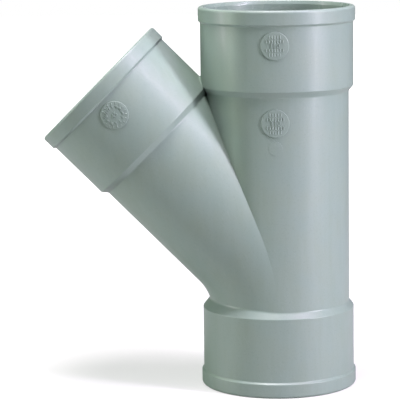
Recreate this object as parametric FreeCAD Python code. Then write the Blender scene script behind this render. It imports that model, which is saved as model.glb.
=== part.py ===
import FreeCAD, Part
import math, os

os.makedirs("parts", exist_ok=True)

# Lateral wye fitting: a straight run with one branch at forty-five degrees and a socket
# on each of the three ends, injection moulded in one piece.
# Millimetres, +Z up. The origin is on the axis of the run, in the plane where the end of
# the lower pipe stops. The branch leans towards -X, and the raised pads face -Y.

# Pipe that the sockets take
pipe_diameter = 110.0
pipe_play = 0.15

# Socket
socket_depth = 60.0
socket_wall = 3.55
lead_in_width = 1.0
lead_in_length = 2.5

# Rim band round each mouth
rim_height = 12.2
rim_proud = 1.55
rim_slope = 1.4
lip_bevel = 1.2

# Shoulder between a socket and the tube
stop_to_shoulder = 1.0
shoulder_length = 4.4
shoulder_bevel = 0.6
shoulder_run_on = 4.0

# Tube of the body, on the radius a little larger than the pipe
tube_over_pipe = 0.2
tube_wall = 3.4
branch_core_ease = 0.25

# Lengths from the crossing of the axes to each mouth
lower_reach = 97.5
upper_reach = 197.0
branch_reach = 196.0
branch_angle = 45.0

# Heel, where the branch bends down into the lower socket
heel_bend_radius = 90.0
heel_setback = 3.5
heel_wall = 3.7

# Raised round pads on the front
pad_diameter = 21.8
pad_height = 0.5
rim_to_pad = 3.0
body_pad_above_crossing = 112.5

# Sizes that follow from the values above
half_turn = math.radians(branch_angle) / 2.0
bore_radius = pipe_diameter / 2.0 + pipe_play
socket_radius = bore_radius + socket_wall
rim_radius = socket_radius + rim_proud
tube_radius = pipe_diameter / 2.0 + tube_over_pipe
core_radius = tube_radius - tube_wall
crossing_height = lower_reach - socket_depth
crossing = FreeCAD.Vector(0, 0, crossing_height)
tangent_length = heel_bend_radius * math.tan(half_turn)
heel_low = crossing_height - heel_setback / math.tan(2.0 * half_turn) - tangent_length
heel_high = tangent_length - heel_setback / math.sin(2.0 * half_turn)
bend_centre = FreeCAD.Vector(heel_setback - heel_bend_radius, 0, heel_low)
beyond = 3.0 * (upper_reach + lower_reach)


def turned(corners):
    """Solid turned about the Z axis from a half outline of (radius, height) corners."""
    points = [FreeCAD.Vector(radius, 0, height) for radius, height in corners]
    face = Part.Face(Part.makePolygon(points + points[:1]))
    return face.revolve(FreeCAD.Vector(0, 0, 0), FreeCAD.Vector(0, 0, 1), 360)


def socket(reach):
    """Outside of one socket up Z; its shoulder runs on inwards, under the skin of the tube."""
    shoulder_top = reach - socket_depth - stop_to_shoulder
    steep = shoulder_length / (socket_radius - tube_radius)
    inner = shoulder_top - shoulder_length - shoulder_run_on * steep
    rim_start = reach - rim_height
    return turned([
        (0, inner),
        (tube_radius - shoulder_run_on, inner),
        (socket_radius - shoulder_bevel / steep, shoulder_top - shoulder_bevel),
        (socket_radius, shoulder_top + shoulder_bevel),
        (socket_radius, rim_start),
        (rim_radius, rim_start + rim_slope),
        (rim_radius, reach - lip_bevel),
        (rim_radius - lip_bevel, reach),
        (0, reach),
    ])


def tube(start, reach):
    """Plain tube up Z, long enough to end inside its socket."""
    return Part.makeCylinder(tube_radius, reach - socket_depth - start, FreeCAD.Vector(0, 0, start))


def core_leg(start, reach, radius):
    """Inside of a leg: passage, pipe stop, parallel socket bore and lead-in."""
    stop = reach - socket_depth
    return turned([
        (0, start),
        (radius, start),
        (radius, stop),
        (bore_radius, stop),
        (bore_radius, reach - lead_in_length),
        (bore_radius + lead_in_width, reach),
        (bore_radius + lead_in_width, reach + 1.0),
        (0, reach + 1.0),
    ])


def placed(shape, tilt):
    """Leg built up Z, tilted away from the run and moved to the crossing of the axes."""
    moved = shape.copy()
    moved.rotate(FreeCAD.Vector(0, 0, 0), FreeCAD.Vector(0, 1, 0), tilt)
    moved.translate(crossing)
    return moved


def bend(radius):
    """Round bar bent through the branch angle, from the heel up to the branch axis."""
    foot = bend_centre + FreeCAD.Vector(heel_bend_radius, 0, 0)
    disc = Part.Face(Part.Wire(Part.makeCircle(radius, foot, FreeCAD.Vector(0, 0, 1))))
    return disc.revolve(bend_centre, FreeCAD.Vector(0, -1, 0), branch_angle)


def branch_side():
    """Space on the branch's side of the seam, where bend and run stand equally far out."""
    slope = 1.0 / math.tan(half_turn)
    reach_out = (2.0 * heel_bend_radius - heel_setback) / (1.0 + math.cos(2.0 * half_turn))
    foot = FreeCAD.Vector(heel_setback / 2.0, 0, heel_low)
    knee = FreeCAD.Vector(heel_setback / 2.0, 0, crossing_height - slope * heel_setback / 2.0)
    outward = FreeCAD.Vector(math.cos(2.0 * half_turn), 0, math.sin(2.0 * half_turn))
    top = bend_centre + outward * reach_out
    far = FreeCAD.Vector(-beyond, 0, crossing_height + slope * beyond)
    corner = FreeCAD.Vector(-beyond, 0, heel_low)
    curve = Part.BezierCurve()
    curve.setPoles([foot, knee, top])
    straight = Part.makePolygon([top, far, corner, foot])
    side = Part.Face(Part.Wire([curve.toShape()] + straight.Edges))
    side.translate(FreeCAD.Vector(0, -beyond / 4.0, 0))
    return side.extrude(FreeCAD.Vector(0, beyond / 2.0, 0))


def pad(radius):
    """Raised round pad on the front of a wall with its axis up Z, centred at height 0."""
    root = FreeCAD.Vector(0, -(radius - tube_wall), 0)
    plug = Part.makeCylinder(pad_diameter / 2.0, 2.0 * tube_wall, root, FreeCAD.Vector(0, -1, 0))
    foot = FreeCAD.Vector(0, 0, -pad_diameter)
    skin = Part.makeCylinder(radius + pad_height, 2.0 * pad_diameter, foot)
    return plug.common(skin)


def pads():
    """Pads on the upper socket, on the body below it and on the branch socket."""
    drop = rim_height + rim_to_pad + pad_diameter / 2.0
    upper = pad(socket_radius)
    upper.translate(FreeCAD.Vector(0, 0, upper_reach - drop))
    body = pad(tube_radius)
    body.translate(FreeCAD.Vector(0, 0, body_pad_above_crossing))
    branch = pad(socket_radius)
    branch.translate(FreeCAD.Vector(0, 0, branch_reach - drop))
    return [placed(upper, 0), placed(body, 0), placed(branch, -branch_angle)]


def outside():
    """Closed outside of the fitting, before the passages are cored out."""
    side = branch_side()
    run = placed(tube(-crossing_height, upper_reach), 0).cut(side)
    branch = bend(tube_radius).fuse(placed(tube(heel_high, branch_reach), -branch_angle))
    sockets = [
        placed(socket(lower_reach), 180),
        placed(socket(upper_reach), 0),
        placed(socket(branch_reach), -branch_angle),
    ]
    return run.fuse([branch.common(side)] + sockets + pads())


def passages():
    """Cores of the run and the branch, with the bend inside the heel."""
    down = placed(core_leg(0, lower_reach, core_radius), 180)
    up = placed(core_leg(0, upper_reach, core_radius), 0)
    side = placed(core_leg(0, branch_reach, core_radius - branch_core_ease), -branch_angle)
    return [down.fuse(up), side, bend(tube_radius - heel_wall)]


fitting = outside().cut(passages()).removeSplitter()
fitting.exportStep("parts/wye_body.step")
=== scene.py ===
import bmesh
import bpy
import math
import numpy as np
from mathutils import Matrix, Vector


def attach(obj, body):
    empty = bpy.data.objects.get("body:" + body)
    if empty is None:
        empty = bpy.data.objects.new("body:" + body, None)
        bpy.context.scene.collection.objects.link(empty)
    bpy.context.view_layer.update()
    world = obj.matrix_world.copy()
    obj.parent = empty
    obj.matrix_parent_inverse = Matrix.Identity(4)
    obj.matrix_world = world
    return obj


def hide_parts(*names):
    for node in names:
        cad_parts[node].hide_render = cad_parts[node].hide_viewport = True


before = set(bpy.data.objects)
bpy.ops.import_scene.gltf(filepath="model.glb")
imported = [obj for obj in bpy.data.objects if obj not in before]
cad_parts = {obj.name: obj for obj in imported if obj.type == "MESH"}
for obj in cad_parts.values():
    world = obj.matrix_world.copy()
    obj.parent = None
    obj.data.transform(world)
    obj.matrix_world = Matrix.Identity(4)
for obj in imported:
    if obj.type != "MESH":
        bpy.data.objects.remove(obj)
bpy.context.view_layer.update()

# Tubes of the body
# The straight run and the branch that bends down into it are one wall of rigid PVC,
# injection moulded round two cores that meet at the crossing. Lengths are in metres.
around = 240
tube_radius = 0.0552
crossing = np.array([0.0, 0.0, 0.0375])
lean = math.radians(45.0)
bend_radius = 0.090
setback = 0.0035
slope = 1.0 / math.tan(lean / 2.0)
tangent = bend_radius * math.tan(lean / 2.0)
heel_low = crossing[2] - setback / math.tan(lean) - tangent
bend_centre = np.array([setback - bend_radius, 0.0, heel_low])
bend_length = bend_radius * lean
leg_start = tangent - setback / math.sin(lean)
upper_stop = 0.1745
branch_stop = 0.136


def solid(name, points, patches, caps, facing=1.0):
    """Closed mesh whose corners carry the true normal of the surface they lie on."""
    faces = [quad for quads, _ in patches for quad in quads.tolist()] + [list(ring) for ring, _ in caps]
    used, number = np.unique(np.concatenate([np.ravel(face) for face in faces]), return_inverse=True)
    ends = np.cumsum([len(face) for face in faces])
    faces = [part.tolist() for part in np.split(number, ends[:-1])]
    mesh = bpy.data.meshes.new(name)
    mesh.from_pydata(points[used].tolist(), [], faces)
    normals = [n.reshape(-1, 3) for _, n in patches] + [np.tile(n, (len(ring), 1)) for ring, n in caps]
    store = mesh.attributes.new("true_normal", "FLOAT_VECTOR", "CORNER")
    store.data.foreach_set("vector", (np.concatenate(normals) * facing).astype(np.float32).ravel())
    made = bpy.data.objects.new(name, mesh)
    bpy.context.scene.collection.objects.link(made)
    return made


def along(distance, angle, radius=tube_radius):
    """Point and normal on the branch: distance along its axis, angle round it."""
    distance, angle = np.broadcast_arrays(distance, angle)
    turn = np.clip(distance / bend_radius, 0.0, lean)
    extra = distance - turn * bend_radius
    outward = np.stack([np.cos(turn), 0 * turn, np.sin(turn)], -1)
    forward = np.stack([-np.sin(turn), 0 * turn, np.cos(turn)], -1)
    normal = outward * np.cos(angle)[..., None] + np.array([0, 1.0, 0]) * np.sin(angle)[..., None]
    axis = bend_centre + outward * bend_radius + forward * extra[..., None]
    return axis + normal * radius, normal


# The seam where the two walls stand equally far out: a parabola up the heel, then a plane
step = np.linspace(0.0, 1.0, 61)
outward = np.array([math.cos(lean), 0.0, math.sin(lean)])
reach = (2.0 * bend_radius - setback) / (1.0 + math.cos(lean))
seam_x = [setback / 2.0, setback / 2.0, (bend_centre + outward * reach)[0]]
seam_z = [heel_low, crossing[2] - slope * setback / 2.0, (bend_centre + outward * reach)[2]]
curve = np.stack([(1 - step) ** 2 * c[0] + 2 * step * (1 - step) * c[1] + step ** 2 * c[2]
                  for c in (seam_x, seam_z)], -1)
start_angle = math.acos(-curve[-1, 0] / tube_radius)
climb = -tube_radius * np.cos(np.linspace(start_angle, 0.0, 70)[1:])
curve = np.concatenate([curve, np.stack([climb, crossing[2] - slope * climb], -1)])
depth = np.sqrt(np.maximum(tube_radius ** 2 - curve[:, 0] ** 2, 0.0))
front = np.stack([curve[:, 0], -depth, curve[:, 1]], -1)
seam = np.concatenate([front, (front[:-1] * [1, -1, 1])[::-1]])

# Run: columns up the wall, from the seam on the left and from the foot on the right
right = np.linspace(0, 1, 160)[1:-1]
foot_angle = math.atan2(seam[-1, 1], seam[-1, 0])
run_angle = foot_angle * (1 - right) - foot_angle * right
foot = np.stack([np.cos(run_angle) * tube_radius, np.sin(run_angle) * tube_radius,
                 np.full(run_angle.shape, heel_low)], -1)
ring = np.concatenate([seam, foot])
run_normal = ring * [1, 1, 0] / np.linalg.norm(ring[:, :2], axis=1)[:, None]
run_rows = 3
rise = np.linspace(0.0, 1.0, run_rows)[:, None, None]
run_points = ring * (1 - rise) + (ring * [1, 1, 0] + [0, 0, upper_stop]) * rise

# Branch: columns along the bend and the leg, from the seam or from the foot plane
offset = np.hypot(seam[:, 0] - bend_centre[0], seam[:, 2] - heel_low) - bend_radius
turned_by = np.arctan2(seam[:, 2] - heel_low, seam[:, 0] - bend_centre[0])
leg = (seam - crossing) @ np.array([-math.sin(lean), 0.0, math.cos(lean)])
side = (seam - crossing) @ outward
on_bend = turned_by < lean
seam_angle = np.arctan2(seam[:, 1], np.where(on_bend, offset, side))
seam_along = np.where(on_bend, turned_by * bend_radius, bend_length + leg - leg_start)
left = np.linspace(0, 1, 130)[1:-1]
left_angle = seam_angle[-1] + (2 * math.pi + seam_angle[0] - seam_angle[-1]) * left
branch_angle = np.concatenate([seam_angle, left_angle])
branch_start = np.concatenate([seam_along, np.zeros(left.shape)])
branch_rows = 56
branch_end = bend_length + branch_stop - leg_start
pace = np.linspace(0.0, 1.0, branch_rows)[:, None]
branch_points, branch_normal = along(branch_start * (1 - pace) + branch_end * pace, branch_angle)
branch_points[0, :len(seam)] = seam


def grid(numbers, normals):
    """Quads and corner normals of a closed band of columns and rows of point numbers."""
    after = np.roll(numbers, -1, axis=1)
    turned_normals = np.roll(normals, -1, axis=1)
    quads = np.stack([numbers[:-1], after[:-1], after[1:], numbers[1:]], -1).reshape(-1, 4)
    corners = np.stack([normals[:-1], turned_normals[:-1], turned_normals[1:], normals[1:]], -2)
    return quads, corners.reshape(-1, 4, 3)


seam_count = len(seam)
run_count = len(ring)
branch_count = len(branch_angle)
run_numbers = np.arange(run_rows * run_count).reshape(run_rows, run_count)
first = run_rows * run_count
branch_numbers = first + np.arange(branch_rows * branch_count).reshape(branch_rows, branch_count)
branch_numbers[0, :seam_count] = run_numbers[0, :seam_count]
up = grid(run_numbers[:, ::-1], np.broadcast_to(run_normal[::-1], (run_rows, run_count, 3)))
out = grid(branch_numbers, branch_normal)
bottom = np.concatenate([run_numbers[0, seam_count - 1:], run_numbers[0, :1],
                         branch_numbers[0, seam_count:][::-1]])
body = solid(
    "wye_moulding",
    np.concatenate([run_points.reshape(-1, 3), branch_points.reshape(-1, 3)]),
    [up, out],
    [(bottom, (0, 0, -1)), (run_numbers[-1, ::-1], (0, 0, 1)),
     (branch_numbers[-1], (-outward[2], 0, outward[0]))],
)


# Sockets
# Each end is belled out to take the plain end of a 110 mm pipe, with a thicker rim band
# round its mouth. The edges have the small radii that a mould leaves.
def outline(corners):
    """Spans of a half outline: both ends and both normals, with each corner rounded."""
    flat = [np.array(corner[:2]) for corner in corners]
    spans = []
    last = flat[0]
    for i in range(1, len(flat)):
        back = (flat[i - 1] - flat[i]) / np.linalg.norm(flat[i - 1] - flat[i])
        level = np.array([-back[1], back[0]])
        size = corners[i][2] if i < len(flat) - 1 else 0.0
        if size == 0.0:
            spans.append((last, level, flat[i], level))
            last = flat[i]
            continue
        onward = (flat[i + 1] - flat[i]) / np.linalg.norm(flat[i + 1] - flat[i])
        next_level = np.array([onward[1], -onward[0]])
        half = math.acos(np.clip(back @ onward, -1, 1)) / 2.0
        start = flat[i] + back * size / math.tan(half)
        hub = flat[i] + (back + onward) / np.linalg.norm(back + onward) * size / math.sin(half)
        spans.append((last, level, start, level))
        sign = 1.0 if (start - hub) @ level > 0 else -1.0
        for share in np.linspace(0, 1, 7)[1:]:
            bent = level * (1 - share) + next_level * share
            bent = bent / np.linalg.norm(bent)
            spans.append((spans[-1][2], spans[-1][3], hub + bent * size * sign, bent))
        last = spans[-1][2]
    return spans


def turned(name, corners, place, facing=1.0):
    """Closed solid turned from a half outline of (radius, height, rounding) corners."""
    spans = outline(corners)
    angle = np.arange(around) * 2 * math.pi / around
    circle = np.stack([np.cos(angle), np.sin(angle), 0 * angle], -1)
    rise = np.array([0.0, 0.0, 1.0])
    rings = [spans[0][0]] + [span[2] for span in spans]
    points = np.concatenate([circle * r + rise * h for r, h in rings])
    patches = []
    for i, (_, low, _, high) in enumerate(spans):
        numbers = np.arange(i * around, (i + 2) * around).reshape(2, around)
        lit = np.stack([circle * low[0] + rise * low[1], circle * high[0] + rise * high[1]])
        patches.append(grid(numbers, lit))
    frame_of = np.array(place)
    points = points @ frame_of[:3, :3].T + frame_of[:3, 3]
    patches = [(quads, normals @ frame_of[:3, :3].T) for quads, normals in patches]
    top = np.arange(len(spans) * around, (len(spans) + 1) * around)
    down = frame_of[:3, :3] @ -rise
    return solid(name, points, patches, [(np.arange(around)[::-1], down), (top, -down)], facing)


def carve(base, other, operation):
    """Joins or cuts two closed meshes; the corners keep their true normals."""
    change = base.modifiers.new(operation, "BOOLEAN")
    change.object, change.operation, change.solver = other, operation, "MANIFOLD"
    made = bpy.data.meshes.new_from_object(base.evaluated_get(bpy.context.evaluated_depsgraph_get()))
    base.modifiers.clear()
    base.data = made
    bpy.data.objects.remove(other)


upwards = Matrix.Translation(crossing)
downwards = upwards @ Matrix.Rotation(math.pi, 4, "X")
sideways = upwards @ Matrix.Rotation(-lean, 4, "Y")
legs = [("lower", downwards, 0.0975), ("upper", upwards, 0.1970), ("branch", sideways, 0.1960)]
core_middle = 0.0300
foot_radius = 0.0512
socket_radius = 0.0587
rim_radius = 0.060235
shoulder_foot = 0.0704
shoulder_top = 0.0610
shoulder_round = 0.0012
band_foot = 0.0122
band_top = 0.0108
rim_round = 0.0021
for name, place, mouth in legs:
    band_round = 0.0005 if name == "branch" else 0.0010
    carve(body, turned(name + "_socket", [
        (core_middle, mouth - shoulder_foot, 0),
        (foot_radius, mouth - shoulder_foot, 0),
        (socket_radius, mouth - shoulder_top, shoulder_round),
        (socket_radius, mouth - band_foot, band_round),
        (rim_radius, mouth - band_top, 0.8 * band_round),
        (rim_radius, mouth, rim_round),
        (core_middle, mouth, 0),
    ], place), "UNION")


def wall_radius(height, angle):
    """How far the body's wall stands from the run's axis, near the lower socket."""
    low, high = np.full(height.shape, 0.045), np.full(height.shape, 0.070)
    for _ in range(30):
        middle = (low + high) / 2.0
        off_bend = np.hypot(middle * np.cos(angle) - bend_centre[0], height - heel_low) - bend_radius
        within = off_bend ** 2 + (middle * np.sin(angle)) ** 2 < tube_radius ** 2
        low, high = np.where(within, middle, low), np.where(within, high, middle)
    return np.minimum(low, tube_radius)


# The root of each shoulder has a hollow round where it runs into the tube. The round's ring
# is sunk a little in both walls, so that the join is clean.
root_round = 0.0030
sunk = 0.0004
apex_sunk = 0.0006
skin_deep = 0.00003
nearby = 0.001
shoulder_out = 0.0075
shoulder_up = 0.0094
root_start = 0.0654
shoulder = np.array([shoulder_out, shoulder_up]) / math.hypot(shoulder_out, shoulder_up)
angle = np.arange(around) * 2 * math.pi / around
for name, place, mouth in legs:
    height = np.full(around, mouth - root_start)
    stands = np.full(around, tube_radius)
    for _ in range(12):
        if name == "lower":
            stands = wall_radius(crossing[2] - height, angle)
        height = mouth - shoulder_foot + (stands - foot_radius) * shoulder[1] / shoulder[0]
    rate = 0 * angle
    if name == "lower":
        further = wall_radius(crossing[2] - height - nearby, angle)
        rate = (further - wall_radius(crossing[2] - height, angle)) / nearby
    root = np.stack([stands, height], -1)
    up_wall = np.stack([rate, 1.0 + 0 * rate], -1) / np.hypot(rate, 1.0)[:, None]
    wall_facing = up_wall[:, ::-1] * [1, -1]
    shoulder_facing = np.array([shoulder[1], -shoulder[0]])
    bend_by = np.arccos(up_wall @ shoulder)[:, None]
    start = root - up_wall * root_round * np.tan(bend_by / 2.0)
    hub = start + wall_facing * (root_round - skin_deep)
    rows, row_normals = [], []
    for share in np.linspace(0.0, 1.0, 8):
        bent = np.sin((1 - share) * bend_by) * wall_facing + np.sin(share * bend_by) * shoulder_facing
        bent = bent / np.sin(bend_by)
        rows.append(hub - bent * root_round)
        row_normals.append(bent)
    hidden = [(rows[-1], shoulder_facing + 0 * root), (root - apex_sunk * shoulder_facing, wall_facing),
              (rows[0], wall_facing)]
    for from_point, facing in hidden:
        rows.append(from_point - facing * sunk)
        row_normals.append(facing)
    rows, row_normals = np.array(rows + rows[:1]), np.array(row_normals + row_normals[:1])
    turn = np.stack([np.cos(angle), np.sin(angle), 0 * angle], -1)
    frame_of = np.array(place)
    points = turn * rows[:-1, :, :1] + [0, 0, 1] * rows[:-1, :, 1:]
    lit = (turn * row_normals[..., :1] + [0, 0, 1] * row_normals[..., 1:]) @ frame_of[:3, :3].T
    points = points.reshape(-1, 3) @ frame_of[:3, :3].T + frame_of[:3, 3]
    numbers = np.arange(len(points)).reshape(-1, around)
    numbers = np.concatenate([numbers, numbers[:1]])
    carve(body, solid(name + "_root", points, [grid(numbers, lit)], []), "UNION")

# The groove where the walls of the two upper sockets meet has a small round at its bottom
fold = np.array([-math.sin(lean / 2.0), 0.0, math.cos(lean / 2.0)])
branch_axis = np.array([-outward[2], 0.0, outward[0]])
groove_half = 0.0150
side_sunk = 0.0003
rows, row_normals = [], []
for share in np.linspace(-1.0, 1.0, 41):
    y = groove_half * share
    at = crossing + fold * math.sqrt(socket_radius ** 2 - y ** 2) / math.sin(lean / 2.0) + [0.0, y, 0.0]
    run_wall = (at - crossing) * [1, 1, 0] / socket_radius
    branch_wall = at - crossing - ((at - crossing) @ branch_axis) * branch_axis
    branch_wall /= np.linalg.norm(branch_wall)
    opening = math.acos(run_wall @ branch_wall)
    groove_round = 0.0010 - 0.0007 * share ** 4
    hub = at + (run_wall + branch_wall) * (groove_round / (1.0 + run_wall @ branch_wall) - skin_deep)
    swing = np.linspace(0.0, 1.0, 11)[:, None]
    bent = np.sin((1.0 - swing) * opening) * branch_wall + np.sin(swing * opening) * run_wall
    bent = bent / math.sin(opening)
    arc = hub - bent * groove_round
    behind = [at - (run_wall + branch_wall) * sunk, arc[0] - branch_wall * side_sunk]
    rows.append(np.concatenate([behind, arc, [arc[-1] - run_wall * side_sunk]]))
    row_normals.append(np.concatenate([[branch_wall, branch_wall], bent, [run_wall]]))
rows, row_normals = np.array(rows), np.array(row_normals)
numbers = np.arange(rows.shape[0] * rows.shape[1]).reshape(rows.shape[:2])
ends = [(numbers[0, ::-1], (0, -1, 0)), (numbers[-1], (0, 1, 0))]
carve(body, solid("groove_round", rows.reshape(-1, 3), [grid(numbers, row_normals)], ends), "UNION")


# Bores
# The cores leave a socket with a step that stops the pipe, a lead-in at the mouth, and one
# open passage where the branch runs into the run behind the heel.
bore = 0.05515
passages = {"lower": 0.0518, "upper": 0.0518, "branch": 0.05155}
heel_passage = 0.0515
stop_depth = 0.0600
stop_round = 0.0003
lead_in = 0.0025
lead_in_round = 0.0020
flare = 0.0010
mouth_round = 0.0005
just_past = 0.0002
past_mouth = 0.0030
past_bore = 0.0200
for name, place, mouth in legs:
    passage = passages[name]
    carve(body, turned(name + "_core", [
        (passage, -just_past if name == "lower" else 0.0, 0),
        (passage, mouth - stop_depth, stop_round),
        (bore, mouth - stop_depth, stop_round),
        (bore, mouth - lead_in, lead_in_round),
        (bore + flare, mouth, mouth_round),
        (bore + past_bore, mouth + just_past, 0),
        (bore + past_bore, mouth + past_mouth, 0),
        (core_middle, mouth + past_mouth, 0),
    ], place, -1.0), "DIFFERENCE")
bend_rows = 40
bend_points, bend_normal = along(np.linspace(0.0, bend_length, bend_rows)[:, None], angle, heel_passage)
bend_numbers = np.arange(bend_rows * around).reshape(bend_rows, around)
bend_ends = [(bend_numbers[0, ::-1], (0, 0, -1)), (bend_numbers[-1], branch_axis)]
heel_core = solid("heel_core", bend_points.reshape(-1, 3), [grid(bend_numbers, bend_normal)], bend_ends, -1.0)
carve(body, heel_core, "DIFFERENCE")


# Raised pads
# Three round pads on the front, where the mould takes an engraved insert, stand a little
# proud of the wall. A flat pin left a trace under the middle one.
def laid(place, height, radius, across, up, lift):
    """Points and the two level directions and normal of a flat drawing wrapped on a wall."""
    turn = across / radius
    zero = 0 * turn
    face = np.stack([np.sin(turn), -np.cos(turn), zero], -1)
    points = face * (radius + lift)[..., None] + np.stack([zero, zero, height + up], -1)
    frame_of = np.array(place)
    to_world = frame_of[:3, :3].T
    side = np.stack([np.cos(turn), np.sin(turn), zero], -1) @ to_world
    return points @ to_world + frame_of[:3, 3], side, frame_of[:3, 2], face @ to_world


def pad(name, place, height, radius, reach, lift, rounding):
    """Round pad laid on a wall of that radius, with its edge rounded, sunk into the wall."""
    hub, depth, draft, sides = 0.0003, 0.0015, 0.0002, 96
    spans = outline([(hub, -depth, 0), (reach + draft, -depth, 0), (reach, lift, rounding), (hub, lift, 0)])
    angle = np.arange(sides) * 2 * math.pi / sides
    points, patches = [], []
    for i, (near, low, far, high) in enumerate(spans):
        normals = []
        for (out_to, up_to), (flat, proud) in ((near, low), (far, high)):
            across, along_wall = out_to * np.cos(angle), out_to * np.sin(angle)
            at, side, rise, face = laid(place, height, radius, across, along_wall, 0 * angle + up_to)
            radial = side * np.cos(angle)[:, None] + rise * np.sin(angle)[:, None]
            normals.append(radial * flat + face * proud)
            if (out_to, up_to) == tuple(far) or i == 0:
                points.append(at)
        numbers = np.arange(i * sides, (i + 2) * sides).reshape(2, sides)
        patches.append(grid(numbers, np.stack(normals)))
    top = np.arange(len(spans) * sides, (len(spans) + 1) * sides)
    outside = -np.array(place)[:3, 1]
    ends = [(np.arange(sides)[::-1], -outside), (top, outside)]
    return solid(name, np.concatenate(points), patches, ends)


pad_below_mouth = 0.0261
pad_radius = 0.0105
pad_height = 0.0007
pad_round = 0.00035
mouths = {name: mouth for name, _, mouth in legs}
pads = [("upper", upwards, mouths["upper"] - pad_below_mouth, socket_radius),
        ("body", upwards, 0.1125, tube_radius),
        ("branch", sideways, mouths["branch"] - pad_below_mouth, socket_radius)]
for name, place, height, radius in pads:
    carve(body, pad(name + "_pad", place, height, radius, pad_radius, pad_height, pad_round), "UNION")
pin_radius = 0.0053
pin_height = 0.00018
pin_round = 0.00008
carve(body, pad("pin_trace", upwards, 0.0936, tube_radius, pin_radius, pin_height, pin_round), "UNION")

# The finished moulding takes the true normals that its surfaces brought along
normal = np.empty(len(body.data.loops) * 3, np.float32)
body.data.attributes["true_normal"].data.foreach_get("vector", normal)
normal = normal.reshape(-1, 3)
normal /= np.linalg.norm(normal, axis=1)[:, None]
body.data.attributes.remove(body.data.attributes["true_normal"])
body.data.shade_smooth()
body.data.normals_split_custom_set(normal.tolist())


# Marks on the pads
# The inserts leave raised rows of strokes round a plain size number on the run's pads,
# and a ring of ticks with plain numbers, as on a date dial, on the branch's pad.
def add_input(tree, label, kind, value):
    """Named input of a node tree, with its value; returns its identifier."""
    socket = tree.interface.new_socket(name=label, in_out="INPUT", socket_type=kind)
    socket.default_value = value
    return socket.identifier


def math_node(tree, operation, first, second=None):
    """One arithmetic node, fed by sockets or plain numbers."""
    node = tree.nodes.new("ShaderNodeMath")
    node.operation = operation
    for slot_number, value in enumerate((first, second)):
        if isinstance(value, bpy.types.NodeSocket):
            tree.links.new(value, node.inputs[slot_number])
        elif value is not None:
            node.inputs[slot_number].default_value = value
    return node.outputs[0]


def wrapped(tree, geometry, wall_radius, lift):
    """Bends a flat drawing in the XY plane round a wall up Z that faces -Y."""
    at = tree.nodes.new("GeometryNodeInputPosition")
    part = tree.nodes.new("ShaderNodeSeparateXYZ")
    tree.links.new(at.outputs[0], part.inputs[0])
    turn = math_node(tree, "DIVIDE", part.outputs["X"], wall_radius)
    reach = math_node(tree, "ADD", math_node(tree, "ADD", part.outputs["Z"], lift), wall_radius)
    place = tree.nodes.new("ShaderNodeCombineXYZ")
    tree.links.new(math_node(tree, "MULTIPLY", math_node(tree, "SINE", turn), reach), place.inputs["X"])
    away = math_node(tree, "MULTIPLY", math_node(tree, "COSINE", turn), reach)
    tree.links.new(math_node(tree, "MULTIPLY", away, -1.0), place.inputs["Y"])
    tree.links.new(part.outputs["Y"], place.inputs["Z"])
    move = tree.nodes.new("GeometryNodeSetPosition")
    tree.links.new(geometry, move.inputs["Geometry"])
    tree.links.new(place.outputs[0], move.inputs["Position"])
    return move.outputs["Geometry"]


stroke_thickness = 0.0006


def strokes(tree, points, chosen, rotation, size, wide, tall):
    """A raised stroke with a round back on each point, as one plain mesh."""
    bar = tree.nodes.new("GeometryNodeMeshCylinder")
    bar.inputs["Vertices"].default_value = 12
    bar.inputs["Side Segments"].default_value = 3
    bar.inputs["Radius"].default_value = 0.5
    bar.inputs["Depth"].default_value = 1.0
    shape = tree.nodes.new("ShaderNodeCombineXYZ")
    for axis, value in (("X", wide), ("Z", tall)):
        tree.links.new(value, shape.inputs[axis])
    shape.inputs["Y"].default_value = stroke_thickness
    sized = tree.nodes.new("GeometryNodeTransform")
    tree.links.new(bar.outputs["Mesh"], sized.inputs["Geometry"])
    tree.links.new(shape.outputs[0], sized.inputs["Scale"])
    laid_down = tree.nodes.new("GeometryNodeTransform")
    tree.links.new(sized.outputs["Geometry"], laid_down.inputs["Geometry"])
    laid_down.inputs["Rotation"].default_value = (math.pi / 2, 0.0, 0.0)
    copy = tree.nodes.new("GeometryNodeInstanceOnPoints")
    tree.links.new(points, copy.inputs["Points"])
    if chosen is not None:
        tree.links.new(chosen, copy.inputs["Selection"])
    tree.links.new(laid_down.outputs["Geometry"], copy.inputs["Instance"])
    if rotation is not None:
        tree.links.new(rotation, copy.inputs["Rotation"])
    if size is not None:
        tree.links.new(size, copy.inputs["Scale"])
    plain = tree.nodes.new("GeometryNodeRealizeInstances")
    tree.links.new(copy.outputs["Instances"], plain.inputs["Geometry"])
    return plain.outputs["Geometry"]


def close_tree(tree, geometry):
    """Gives the drawing its material and ends the tree."""
    paint = tree.nodes.new("GeometryNodeSetMaterial")
    tree.links.new(geometry, paint.inputs["Geometry"])
    paint.inputs["Material"].default_value = skin
    tree.interface.new_socket(name="Geometry", in_out="OUTPUT", socket_type="NodeSocketGeometry")
    end = tree.nodes.new("NodeGroupOutput")
    tree.links.new(paint.outputs["Geometry"], end.inputs[0])


skin = bpy.data.materials.new("rigid_pvc")

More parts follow.
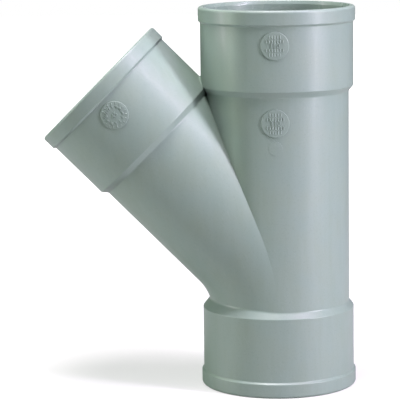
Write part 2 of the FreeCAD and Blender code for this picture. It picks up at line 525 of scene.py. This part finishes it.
# Rows of upright strokes in a disc, with a gap left for the number
rows_tree = bpy.data.node_groups.new("stroke_rows", "GeometryNodeTree")
rows_in = {
    "across": add_input(rows_tree, "Rows Width", "NodeSocketFloat", 0.0160),
    "up": add_input(rows_tree, "Rows Height", "NodeSocketFloat", 0.0132),
    "columns": add_input(rows_tree, "Columns", "NodeSocketInt", 9),
    "rows": add_input(rows_tree, "Rows", "NodeSocketInt", 5),
    "disc": add_input(rows_tree, "Disc Radius", "NodeSocketFloat", 0.0086),
    "gap": add_input(rows_tree, "Gap Half Height", "NodeSocketFloat", 0.0026),
    "wide": add_input(rows_tree, "Stroke Width", "NodeSocketFloat", 0.00090),
    "tall": add_input(rows_tree, "Stroke Height", "NodeSocketFloat", 0.0025),
    "wall": add_input(rows_tree, "Wall Radius", "NodeSocketFloat", socket_radius),
    "lift": add_input(rows_tree, "Lift", "NodeSocketFloat", pad_height),
    "seed": add_input(rows_tree, "Seed", "NodeSocketInt", 3),
}
given = rows_tree.nodes.new("NodeGroupInput")
lattice = rows_tree.nodes.new("GeometryNodeMeshGrid")
for label, input_name in (("Rows Width", "Size X"), ("Rows Height", "Size Y"),
                          ("Columns", "Vertices X"), ("Rows", "Vertices Y")):
    rows_tree.links.new(given.outputs[label], lattice.inputs[input_name])
spot = rows_tree.nodes.new("GeometryNodeInputPosition")
length = rows_tree.nodes.new("ShaderNodeVectorMath")
length.operation = "LENGTH"
rows_tree.links.new(spot.outputs[0], length.inputs[0])
parts = rows_tree.nodes.new("ShaderNodeSeparateXYZ")
rows_tree.links.new(spot.outputs[0], parts.inputs[0])
within = math_node(rows_tree, "LESS_THAN", length.outputs["Value"], given.outputs["Disc Radius"])
off_gap = math_node(rows_tree, "GREATER_THAN", math_node(rows_tree, "ABSOLUTE", parts.outputs["Y"]),
                    given.outputs["Gap Half Height"])
chance = rows_tree.nodes.new("FunctionNodeRandomValue")
chance.data_type = "FLOAT"
rows_tree.links.new(given.outputs["Seed"], chance.inputs["Seed"])
chosen = math_node(rows_tree, "MULTIPLY", within, off_gap)
vary = rows_tree.nodes.new("ShaderNodeCombineXYZ")
vary.inputs["X"].default_value = 1.0
vary.inputs["Z"].default_value = 1.0
stretch = math_node(rows_tree, "ADD", math_node(rows_tree, "MULTIPLY", chance.outputs[1], 0.2), 0.8)
rows_tree.links.new(stretch, vary.inputs["Y"])
drawn = strokes(rows_tree, lattice.outputs["Mesh"], chosen, None, vary.outputs[0],
                given.outputs["Stroke Width"], given.outputs["Stroke Height"])
close_tree(rows_tree, wrapped(rows_tree, drawn, given.outputs["Wall Radius"], given.outputs["Lift"]))

# Ticks round a dial
dial_tree = bpy.data.node_groups.new("dial_ticks", "GeometryNodeTree")
dial_in = {
    "count": add_input(dial_tree, "Ticks", "NodeSocketInt", 18),
    "ring": add_input(dial_tree, "Ring Radius", "NodeSocketFloat", 0.0088),
    "wide": add_input(dial_tree, "Tick Width", "NodeSocketFloat", 0.00070),
    "tall": add_input(dial_tree, "Tick Length", "NodeSocketFloat", 0.0012),
    "wall": add_input(dial_tree, "Wall Radius", "NodeSocketFloat", socket_radius),
    "lift": add_input(dial_tree, "Lift", "NodeSocketFloat", pad_height),
}
given = dial_tree.nodes.new("NodeGroupInput")
hoop = dial_tree.nodes.new("GeometryNodeMeshCircle")
dial_tree.links.new(given.outputs["Ticks"], hoop.inputs["Vertices"])
dial_tree.links.new(given.outputs["Ring Radius"], hoop.inputs["Radius"])
index = dial_tree.nodes.new("GeometryNodeInputIndex")
share = math_node(dial_tree, "DIVIDE", index.outputs[0], given.outputs["Ticks"])
spin = dial_tree.nodes.new("ShaderNodeCombineXYZ")
round_by = math_node(dial_tree, "MULTIPLY", share, 2 * math.pi)
dial_tree.links.new(math_node(dial_tree, "SUBTRACT", round_by, math.pi / 2), spin.inputs["Z"])
drawn = strokes(dial_tree, hoop.outputs["Mesh"], None, spin.outputs[0], None,
                given.outputs["Tick Width"], given.outputs["Tick Length"])
close_tree(dial_tree, wrapped(dial_tree, drawn, given.outputs["Wall Radius"], given.outputs["Lift"]))


def grown(name, tree, values, place, height):
    """Runs a drawing tree and lays its plain mesh at a height up one leg."""
    made = bpy.data.objects.new(name, bpy.data.meshes.new(name))
    bpy.context.scene.collection.objects.link(made)
    run = made.modifiers.new("drawing", "NODES")
    run.node_group = tree
    for identifier, value in values.items():
        run[identifier] = value
    mesh = bpy.data.meshes.new_from_object(made.evaluated_get(bpy.context.evaluated_depsgraph_get()))
    made.modifiers.clear()
    made.data = mesh
    mesh.transform(place @ Matrix.Translation((0, 0, height)))
    return made


def numeral(text, size, across, up, place, height, radius):
    """A plain number, raised from the pad's face and wrapped on the wall."""
    curve = bpy.data.curves.new("numeral_" + text, "FONT")
    curve.body, curve.size, curve.extrude = text, size, 0.0002
    curve.bevel_depth, curve.bevel_resolution = 0.00012, 1
    curve.align_x, curve.align_y = "CENTER", "CENTER"
    curve.resolution_u = 4
    lettered = bpy.data.objects.new("numeral_" + text, curve)
    bpy.context.scene.collection.objects.link(lettered)
    mesh = bpy.data.meshes.new_from_object(lettered.evaluated_get(bpy.context.evaluated_depsgraph_get()))
    bpy.data.objects.remove(lettered)
    welded = bmesh.new()
    welded.from_mesh(mesh)
    bmesh.ops.remove_doubles(welded, verts=welded.verts, dist=1e-6)
    bmesh.ops.recalc_face_normals(welded, faces=welded.faces)
    welded.to_mesh(mesh)
    welded.free()
    flat = np.empty(len(mesh.vertices) * 3)
    mesh.vertices.foreach_get("co", flat)
    flat = flat.reshape(-1, 3)
    at = laid(place, height, radius, flat[:, 0] + across, flat[:, 1] + up, flat[:, 2] + pad_height)[0]
    mesh.vertices.foreach_set("co", at.ravel())
    mesh.materials.clear()
    mesh.materials.append(skin)
    made = bpy.data.objects.new("numeral_" + text, mesh)
    bpy.context.scene.collection.objects.link(made)
    return made


def joined(name, pieces):
    """Several plain meshes as one named piece that rides on the fitting."""
    bpy.ops.object.select_all(action="DESELECT")
    for piece in pieces:
        piece.select_set(True)
    bpy.context.view_layer.objects.active = pieces[0]
    bpy.ops.object.join()
    pieces[0].name = name
    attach(pieces[0], "root")
    return pieces[0]


month_size = 0.0028
month_ring = 0.0064
year_size = 0.0046
pipe_size = 0.0050
for name, place, height, radius in pads:
    if name == "branch":
        marks = [grown("ticks", dial_tree, {dial_in["wall"]: radius}, place, height)]
        for month in range(1, 13):
            turn = math.radians(90 - 30 * month)
            across, up = month_ring * math.cos(turn), month_ring * math.sin(turn)
            marks.append(numeral(str(month), month_size, across, up, place, height, radius))
        marks.append(numeral("45", year_size, 0.0, 0.0, place, height, radius))
    else:
        seed = 3 if name == "upper" else 8
        marks = [grown("rows", rows_tree, {rows_in["wall"]: radius, rows_in["seed"]: seed}, place, height),
                 numeral("110", pipe_size, 0.0, 0.0, place, height, radius)]
    joined(name + "_pad_marks", marks)


# Rigid PVC
# One grey-green compound. The outside has a satin skin with a faint orange peel and the
# parting line of the mould; the core side is polished, with fine lines from its withdrawal.
def effect(name, inputs, outputs):
    """Empty shader group with named number inputs and outputs; returns tree, in and out."""
    group = bpy.data.node_groups.new(name, "ShaderNodeTree")
    for label, value in inputs.items():
        socket = group.interface.new_socket(name=label, in_out="INPUT", socket_type="NodeSocketFloat")
        socket.default_value = value
    for label in outputs:
        group.interface.new_socket(name=label, in_out="OUTPUT", socket_type="NodeSocketFloat")
    return group, group.nodes.new("NodeGroupInput"), group.nodes.new("NodeGroupOutput")


def spread(group, at, size, detail, stretch=(1, 1, 1)):
    """Soft noise whose patches are about that size; stretch makes them long."""
    scaled = group.nodes.new("ShaderNodeVectorMath")
    scaled.operation = "MULTIPLY"
    group.links.new(at, scaled.inputs[0])
    scaled.inputs[1].default_value = stretch
    noise = group.nodes.new("ShaderNodeTexNoise")
    noise.inputs["Detail"].default_value = detail
    noise.inputs["Roughness"].default_value = 0.55
    group.links.new(scaled.outputs[0], noise.inputs["Vector"])
    group.links.new(math_node(group, "DIVIDE", 1.0, size), noise.inputs["Scale"])
    return noise.outputs[0]


def object_place(group):
    """The point on the fitting, in metres."""
    return group.nodes.new("ShaderNodeTexCoord").outputs["Object"]


def band(group, value, low, high):
    """Ramp from 0 at low to 1 at high."""
    ramp = group.nodes.new("ShaderNodeMapRange")
    ramp.interpolation_type = "SMOOTHSTEP"
    group.links.new(value, ramp.inputs["Value"])
    ramp.inputs["From Min"].default_value = low
    ramp.inputs["From Max"].default_value = high
    return ramp.outputs["Result"]


melt_sizes = {"Cloud Size": 0.022, "Streak Size": 0.006, "Speck Size": 0.0012}
flow, flow_in, flow_out = effect("melt_flow", melt_sizes, ["Cloud", "Streak", "Speck"])
at = object_place(flow)
cloud = spread(flow, at, flow_in.outputs["Cloud Size"], 3.0)
flow.links.new(band(flow, cloud, 0.30, 0.70), flow_out.inputs["Cloud"])
run_streak = spread(flow, at, flow_in.outputs["Streak Size"], 2.0, (1.0, 1.0, 0.12))
flow.links.new(band(flow, run_streak, 0.35, 0.65), flow_out.inputs["Streak"])
speck = spread(flow, at, flow_in.outputs["Speck Size"], 1.0)
flow.links.new(band(flow, speck, 0.56, 0.70), flow_out.inputs["Speck"])

peel_sizes = {"Dimple Size": 0.0016, "Dimple Depth": 0.000008, "Wave Size": 0.016, "Wave Depth": 0.00006}
peel, peel_in, peel_out = effect("orange_peel", peel_sizes, ["Height"])
at = object_place(peel)
dimples = math_node(peel, "MULTIPLY", spread(peel, at, peel_in.outputs["Dimple Size"], 1.0),
                    peel_in.outputs["Dimple Depth"])
waves = math_node(peel, "MULTIPLY", spread(peel, at, peel_in.outputs["Wave Size"], 0.0),
                  peel_in.outputs["Wave Depth"])
peel.links.new(math_node(peel, "ADD", dimples, waves), peel_out.inputs["Height"])

rub, rub_in, rub_out = effect("rub_marks", {"Length": 0.030, "Amount": 0.5}, ["Mask"])
at = object_place(rub)
tilt = rub.nodes.new("ShaderNodeVectorRotate")
tilt.inputs["Axis"].default_value = (0.3, 1.0, 0.2)
tilt.inputs["Angle"].default_value = 0.6
rub.links.new(at, tilt.inputs["Vector"])
hair = spread(rub, tilt.outputs[0], rub_in.outputs["Length"], 0.0, (40.0, 40.0, 1.0))
where = band(rub, spread(rub, at, rub_in.outputs["Length"], 1.0), 0.48, 0.62)
lines = math_node(rub, "MULTIPLY", band(rub, hair, 0.66, 0.74), where)
rub.links.new(math_node(rub, "MULTIPLY", lines, rub_in.outputs["Amount"]), rub_out.inputs["Mask"])


def placed(tree, group, **values):
    """A group node in a material, with its own values."""
    node = tree.nodes.new("ShaderNodeGroup")
    node.node_tree = group
    for label, value in values.items():
        node.inputs[label.replace("_", " ")].default_value = value
    return node.outputs


def toned(tree, colour, other, share):
    """Colour moved towards another by a share that varies over the surface."""
    mix = tree.nodes.new("ShaderNodeMix")
    mix.data_type = "RGBA"
    tree.links.new(share, mix.inputs["Factor"])
    for slot_number, value in ((6, colour), (7, other)):
        if isinstance(value, bpy.types.NodeSocket):
            tree.links.new(value, mix.inputs[slot_number])
        else:
            mix.inputs[slot_number].default_value = (*value, 1)
    return mix.outputs[2]


compound = (0.247, 0.340, 0.289)
olive_cloud = (0.251, 0.336, 0.274)
pale_streak = (0.277, 0.364, 0.318)
dark_speck = (0.193, 0.273, 0.227)
rubbed_pale = (0.36, 0.43, 0.40)


def pvc(material, roughness, dimple_depth, wave_depth, rubbed):
    """The compound's colour and gloss; returns the tree, the shader and the skin's height."""
    material.use_nodes = True
    tree = material.node_tree
    shader = tree.nodes["Principled BSDF"]
    shader.inputs["IOR"].default_value = 1.53
    shader.inputs["Coat Weight"].default_value = 0.08
    shader.inputs["Coat Roughness"].default_value = 0.17
    melt = placed(tree, flow)
    marks = placed(tree, rub, Amount=rubbed)["Mask"]
    skin_height = placed(tree, peel, Dimple_Depth=dimple_depth, Wave_Depth=wave_depth)["Height"]
    colour = toned(tree, compound, olive_cloud, melt["Cloud"])
    colour = toned(tree, colour, pale_streak, math_node(tree, "MULTIPLY", melt["Streak"], 0.30))
    colour = toned(tree, colour, dark_speck, math_node(tree, "MULTIPLY", melt["Speck"], 0.22))
    colour = toned(tree, colour, rubbed_pale, math_node(tree, "MULTIPLY", marks, 0.5))
    tree.links.new(colour, shader.inputs["Base Color"])
    uneven = math_node(tree, "MULTIPLY", math_node(tree, "SUBTRACT", melt["Cloud"], 0.5), 0.06)
    gloss = math_node(tree, "ADD", uneven, roughness)
    tree.links.new(math_node(tree, "ADD", gloss, math_node(tree, "MULTIPLY", marks, 0.12)),
                   shader.inputs["Roughness"])
    return tree, shader, skin_height


def bumped(tree, shader, height):
    """Feeds a height in metres to the surface's normal."""
    bump = tree.nodes.new("ShaderNodeBump")
    bump.inputs["Strength"].default_value = 1.0
    bump.inputs["Distance"].default_value = 1.0
    tree.links.new(height, bump.inputs["Height"])
    tree.links.new(bump.outputs["Normal"], shader.inputs["Normal"])


tree, shader, height = pvc(skin, 0.42, 0.000016, 0.00007, 0.25)
spot = tree.nodes.new("ShaderNodeSeparateXYZ")
tree.links.new(object_place(tree), spot.inputs[0])
parting_height = 0.00008
off_parting = band(tree, math_node(tree, "ABSOLUTE", spot.outputs["Y"]), 0.00012, 0.00032)
parting = math_node(tree, "MULTIPLY", math_node(tree, "SUBTRACT", 1.0, off_parting), parting_height)
height = math_node(tree, "ADD", height, parting)
bumped(tree, shader, height)

core_side = bpy.data.materials.new("rigid_pvc_core_side")
tree, shader, height = pvc(core_side, 0.27, 0.000002, 0.00003, 0.2)
drag = spread(tree, object_place(tree), 0.0012, 1.0, (1.0, 1.0, 0.03))
bumped(tree, shader, math_node(tree, "ADD", height, math_node(tree, "MULTIPLY", drag, 0.000006)))

body.data.materials.clear()
body.data.materials.append(skin)
body.data.materials.append(core_side)
middle = np.empty(len(body.data.polygons) * 3)
body.data.polygons.foreach_get("center", middle)
middle = middle.reshape(-1, 3)
facing = np.empty(len(body.data.polygons) * 3)
body.data.polygons.foreach_get("normal", facing)
facing = facing.reshape(-1, 3)
wall_middle = 0.0545
socket_wall_middle = 0.0562
grazing = 0.2
inside = np.zeros(len(middle), bool)
for _, place, mouth in legs:
    axis = np.array(place.col[2][:3])
    up_leg = (middle - crossing) @ axis
    away_from = middle - crossing - up_leg[:, None] * axis
    from_axis = np.linalg.norm(away_from, axis=1)
    limit = np.where(up_leg > mouth - stop_depth - 0.0005, socket_wall_middle, wall_middle)
    inward = (facing * away_from).sum(1) < grazing * from_axis
    inside |= (from_axis < limit) & (up_leg > -just_past) & inward
hub = np.stack([middle[:, 0] - bend_centre[0], 0 * middle[:, 0], middle[:, 2] - heel_low], -1)
hub *= 1.0 - bend_radius / np.linalg.norm(hub, axis=1)[:, None]
away_from = hub + middle * [0, 1, 0]
from_axis = np.linalg.norm(away_from, axis=1)
inward = (facing * away_from).sum(1) < grazing * from_axis
on_heel = (middle[:, 2] > heel_low) & (middle[:, 2] < crossing[2])
inside |= (from_axis < wall_middle) & on_heel & inward
body.data.polygons.foreach_set("material_index", inside.astype(np.int32))
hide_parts("wye_body")
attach(body, "root")


# Floor, light and camera
# A plain floor of pale paper, soft panels mostly from the right and from above, and the
# angle of the photo. The paper and the room look white to the camera alone.
bpy.ops.mesh.primitive_plane_add(size=8.0, location=(0, 0, -0.0601))
floor = bpy.context.object
floor.name = "floor"
paper = bpy.data.materials.new("pale_paper")
paper.use_nodes = True
nodes, links = paper.node_tree.nodes, paper.node_tree.links
sheet = nodes["Principled BSDF"]
sheet.inputs["Base Color"].default_value = (0.40, 0.40, 0.40, 1)
sheet.inputs["Roughness"].default_value = 0.85
glow = nodes.new("ShaderNodeEmission")
glow.inputs["Strength"].default_value = 1.2
from_object = nodes.new("ShaderNodeVectorMath")
from_object.operation = "LENGTH"
links.new(object_place(paper.node_tree), from_object.inputs[0])
far = band(paper.node_tree, from_object.outputs["Value"], 0.35, 1.1)
links.new(math_node(paper.node_tree, "ADD", math_node(paper.node_tree, "MULTIPLY", far, 0.5), 0.5),
          glow.inputs["Color"])
lifted = nodes.new("ShaderNodeAddShader")
looked_at = nodes.new("ShaderNodeLightPath")
pick = nodes.new("ShaderNodeMixShader")
links.new(sheet.outputs["BSDF"], lifted.inputs[0])
links.new(glow.outputs["Emission"], lifted.inputs[1])
links.new(looked_at.outputs["Is Camera Ray"], pick.inputs["Fac"])
links.new(sheet.outputs["BSDF"], pick.inputs[1])
links.new(lifted.outputs["Shader"], pick.inputs[2])
links.new(pick.outputs["Shader"], nodes["Material Output"].inputs["Surface"])
floor.data.materials.append(paper)

world = bpy.data.worlds.new("studio")
bpy.context.scene.world = world
world.use_nodes = True
nodes, links = world.node_tree.nodes, world.node_tree.links
room = nodes["Background"]
room.inputs["Color"].default_value = (0.86, 0.90, 0.88, 1)
room.inputs["Strength"].default_value = 0.01
white = nodes.new("ShaderNodeBackground")
white.inputs["Color"].default_value = (1, 1, 1, 1)
white.inputs["Strength"].default_value = 1.0
seen = nodes.new("ShaderNodeLightPath")
choose = nodes.new("ShaderNodeMixShader")
links.new(seen.outputs["Is Camera Ray"], choose.inputs["Fac"])
links.new(room.outputs["Background"], choose.inputs[1])
links.new(white.outputs["Background"], choose.inputs[2])
links.new(choose.outputs["Shader"], nodes["World Output"].inputs["Surface"])


middle_of_it = Vector((-0.03, 0.0, 0.09))
panel_distance = 1.5


def panel(name, round_by, up_by, size, power, tint):
    """Soft rectangular light, so many degrees round from the front and up, aimed at the part.

    It hangs at the nearest whole millimetre.
    """
    turn, climb = math.radians(round_by), math.radians(up_by)
    towards = Vector((math.sin(turn) * math.cos(climb), -math.cos(turn) * math.cos(climb), math.sin(climb)))
    place = Vector([round(value, 3) for value in middle_of_it + towards * panel_distance])
    light = bpy.data.lights.new(name, "AREA")
    light.shape = "RECTANGLE"
    light.size, light.size_y = size
    light.energy = power
    light.color = tint
    lamp = bpy.data.objects.new(name, light)
    lamp.location = place
    lamp.rotation_euler = (middle_of_it - place).to_track_quat("-Z", "Y").to_euler()
    bpy.context.scene.collection.objects.link(lamp)


panel("key", 64.5, 15.5, (0.14, 0.28), 15.4, (0.94, 0.87, 1.0))
panel("key_low", 62, 1, (0.1, 0.26), 2.4, (0.92, 0.85, 1.0))
panel("key_strip", 62, 30, (0.09, 1.2), 9.6, (0.90, 0.77, 1.0))
panel("key_high", 60, 60, (0.42, 0.42), 9.5, (0.87, 0.64, 1.0))
panel("top", -45, 78, (0.42, 0.42), 14.6, (1.0, 0.95, 0.96))
panel("overhead", 0, 88, (0.42, 0.42), 10.4, (0.98, 0.87, 1.0))
panel("front_top", -5, 67, (0.28, 0.14), 1.8, (1.0, 0.94, 1.0))
panel("left_strip", -84, 12, (0.09, 1.2), 8.7, (0.99, 0.88, 1.0))
panel("left_low", -70, 6, (0.42, 0.42), 4.4, (0.81, 1.0, 0.77))
panel("back_left", -120, 45, (0.42, 0.42), 4.6, (0.83, 1.0, 0.81))

camera_data = bpy.data.cameras.new("camera")
camera_data.sensor_width = 36.0
camera_data.lens = 192.23
camera_data.dof.use_dof = False
camera = bpy.data.objects.new("camera", camera_data)
bpy.context.scene.collection.objects.link(camera)
right_of = Vector((0.9981499, 0.0593849, -0.0130463))
up_of = Vector((0.0035323, 0.1575721, 0.9875012))
back_of = Vector((0.0606984, -0.9857203, 0.1570708))
turn = Matrix((right_of, up_of, back_of)).transposed().to_4x4()
camera.matrix_world = Matrix.Translation((0.0404346, -1.6388386, 0.3449733)) @ turn
bpy.context.scene.camera = camera
bpy.context.scene.view_settings.view_transform = "Standard"
